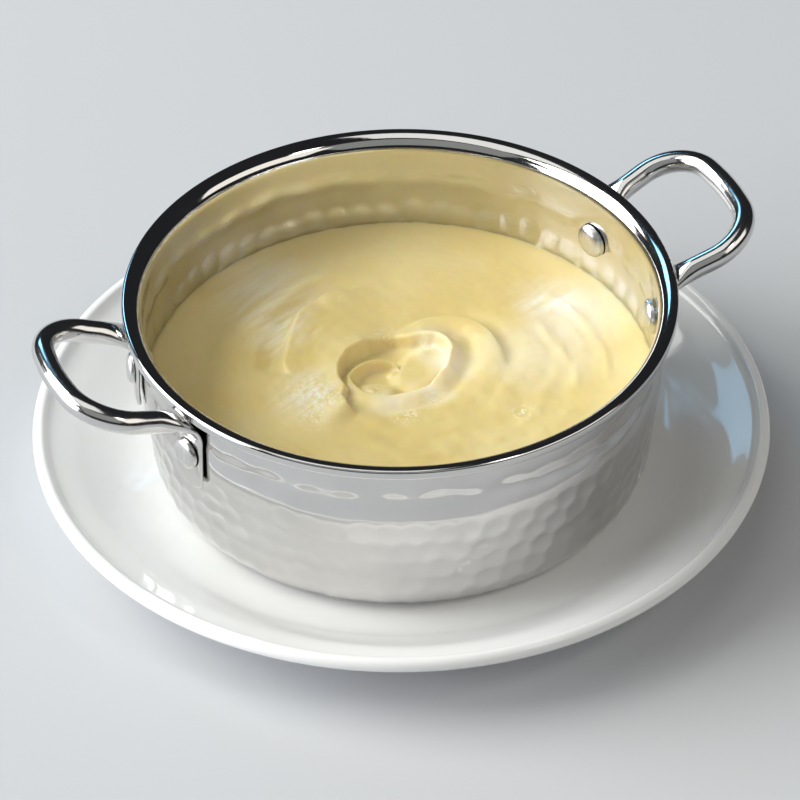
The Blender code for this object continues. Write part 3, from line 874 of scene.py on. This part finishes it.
def build_mash(material):
    """The potato: a swirled top, a rounded edge at the wall, and a closed body."""
    x, y, faces, border = disc_grid(MASH_CELLS)
    edge_radius = wall_radius(MASH_LEVEL) - SHEET + GAP
    radius = np.hypot(x, y)
    x = x * edge_radius
    y = y * edge_radius
    turn = -CAMERA_TURN
    across = (x * math.cos(turn) - y * math.sin(turn) - SWIRL_CENTRE.x) / MM
    away = (x * math.sin(turn) + y * math.cos(turn) - SWIRL_CENTRE.y) / MM
    z = PAN_BASE + MASH_LEVEL + swirl_relief(across, away) * MM
    to_wall = (1.0 - radius) * edge_radius / MM - 0.3
    z -= 0.7 * MM * np.exp(-np.maximum(to_wall, 0.0) / 0.7) * (1.0 + 0.4 * lumps(across, away, 9.0, 5))
    top = np.stack([x, y, z], axis=1)
    rows = []
    for height in np.linspace(MASH_LEVEL - 3.0 * MM, SHEET + GAP, 6):
        inside = wall_radius(height) - SHEET - 0.8 * MM - (CORNER_RADIUS if height < 2 * MM else 0.0)
        ring = top[border].copy()
        ring[:, :2] *= inside / edge_radius
        ring[:, 2] = PAN_BASE + height
        rows.append(ring)
    points = np.vstack([top, *rows])
    sides = len(border)
    start = len(top)
    loops = [border] + [np.arange(sides) + start + i * sides for i in range(len(rows))]
    for upper, lower in zip(loops, loops[1:]):
        ahead_upper, ahead_lower = np.roll(upper, -1), np.roll(lower, -1)
        faces += np.stack([ahead_upper, upper, lower, ahead_lower], axis=1).tolist()
    faces.append(loops[-1][::-1].tolist())
    made = piece("swirled_mash", points, faces, [material], ["mash"])


# ---------------------------------------------------------------- studio


def turned_to_camera(place):
    """Turn a place given as right, away and up for the camera into the frame."""
    return Matrix.Rotation(CAMERA_TURN, 3, "Z") @ Vector(place)


def build_camera():
    """The camera, rolled very slightly."""
    back = Vector((0.0, -math.cos(CAMERA_ELEVATION), math.sin(CAMERA_ELEVATION)))
    place = turned_to_camera(back * CAMERA_DISTANCE)
    aim = turned_to_camera(CAMERA_AIM)
    data = bpy.data.cameras.new("camera")
    data.sensor_width = SENSOR_WIDTH
    data.lens = LENS
    data.clip_start = 0.05
    camera = bpy.data.objects.new("camera", data)
    bpy.context.scene.collection.objects.link(camera)
    looking = (aim - place).to_track_quat("-Z", "Y").to_matrix().to_4x4()
    lift = Matrix.Translation((0.0, 0.0, PAN_BASE))
    camera.matrix_world = lift @ Matrix.Translation(place) @ looking @ Matrix.Rotation(CAMERA_ROLL, 4, "Z")
    bpy.context.scene.camera = camera


def softbox(name, azimuth, elevation, size, brightness, distance=3.0):
    """An area light facing the pan: azimuth 0 is right of the camera's view, 90 is away."""
    a, e = math.radians(azimuth), math.radians(elevation)
    direction = (math.cos(e) * math.cos(a), math.cos(e) * math.sin(a), math.sin(e))
    place = turned_to_camera(direction) * distance
    strongest = max(brightness)
    data = bpy.data.lights.new(name, "AREA")
    data.shape = "RECTANGLE"
    data.size, data.size_y = size
    data.energy = strongest * math.pi * size[0] * size[1]
    data.color = [value / strongest for value in brightness]
    light = bpy.data.objects.new(name, data)
    bpy.context.scene.collection.objects.link(light)
    light.location = place + Vector((0.0, 0.0, PAN_BASE + PAN_HEIGHT / 2))
    light.rotation_euler = (-place).to_track_quat("-Z", "Y").to_euler()


def build_floor():
    """A plain pale floor."""
    n = Nodes("pale_floor")
    n.set(Base_Color=n.ramp(n.noise(3.0, 2.0), (0.3, (0.56, 0.57, 0.59)), (0.7, (0.58, 0.59, 0.61))),
          Roughness=0.85)
    mesh = bpy.data.meshes.new("floor")
    reach = 9.0
    mesh.from_pydata([(-reach, -reach, 0), (reach, -reach, 0), (reach, reach, 0), (-reach, reach, 0)],
                     [], [(0, 1, 2, 3)])
    mesh.materials.append(n.material)
    floor = bpy.data.objects.new("floor", mesh)
    bpy.context.scene.collection.objects.link(floor)
    floor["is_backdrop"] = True


def build_studio():
    """Plain soft light from windows at the left and behind, in a dim room."""
    softbox("key_low", 183, 15, (2.9, 1.6), (7.2, 7.3, 7.7))
    softbox("key_high", 170, 42, (2.5, 1.3), (7.2, 7.3, 6.9))
    softbox("window", 118, 32, (0.70, 0.80), (1.1, 2.7, 4.2))
    softbox("front", -100, 42, (4.0, 2.4), (0.30, 0.31, 0.30))
    softbox("right_front", -25, 37, (2.7, 1.4), (1.3, 1.24, 1.15))
    softbox("lamp", -40, 54, (0.40, 0.40), (10.0, 9.7, 8.9))
    softbox("overhead", 180, 78, (2.0, 2.0), (1.1, 1.1, 1.07))
    world = bpy.data.worlds.new("dim_room")
    world.use_nodes = True
    world.node_tree.nodes["Background"].inputs["Color"].default_value = (0.02, 0.021, 0.023, 1.0)
    bpy.context.scene.world = world
    bpy.context.scene.view_settings.view_transform = "Standard"


# ---------------------------------------------------------------- assembly


def main():
    """Build every piece, the camera and the studio."""
    build_camera()
    steel = steel_material("polished_steel", 0.035)
    worn = steel_material("worn_steel", 0.09)
    satin = steel_material("satin_steel", 0.24)
    build_plate(porcelain_material())
    build_pan(steel)
    build_mash(potato_material())
    for side, turn in (("right", 0.0), ("left", math.pi)):
        build_handle(f"handle_{side}", turn, worn)
        outward = 1 if side == "right" else -1
        build_rivet(f"rivet_{side}_back", turn + outward * RIVET_ANGLE, satin)
        build_rivet(f"rivet_{side}_front", turn - outward * RIVET_ANGLE, satin)
    build_floor()
    build_studio()


main()
[[list(corner) for corner in box] for box in (CAD_BOX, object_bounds())]
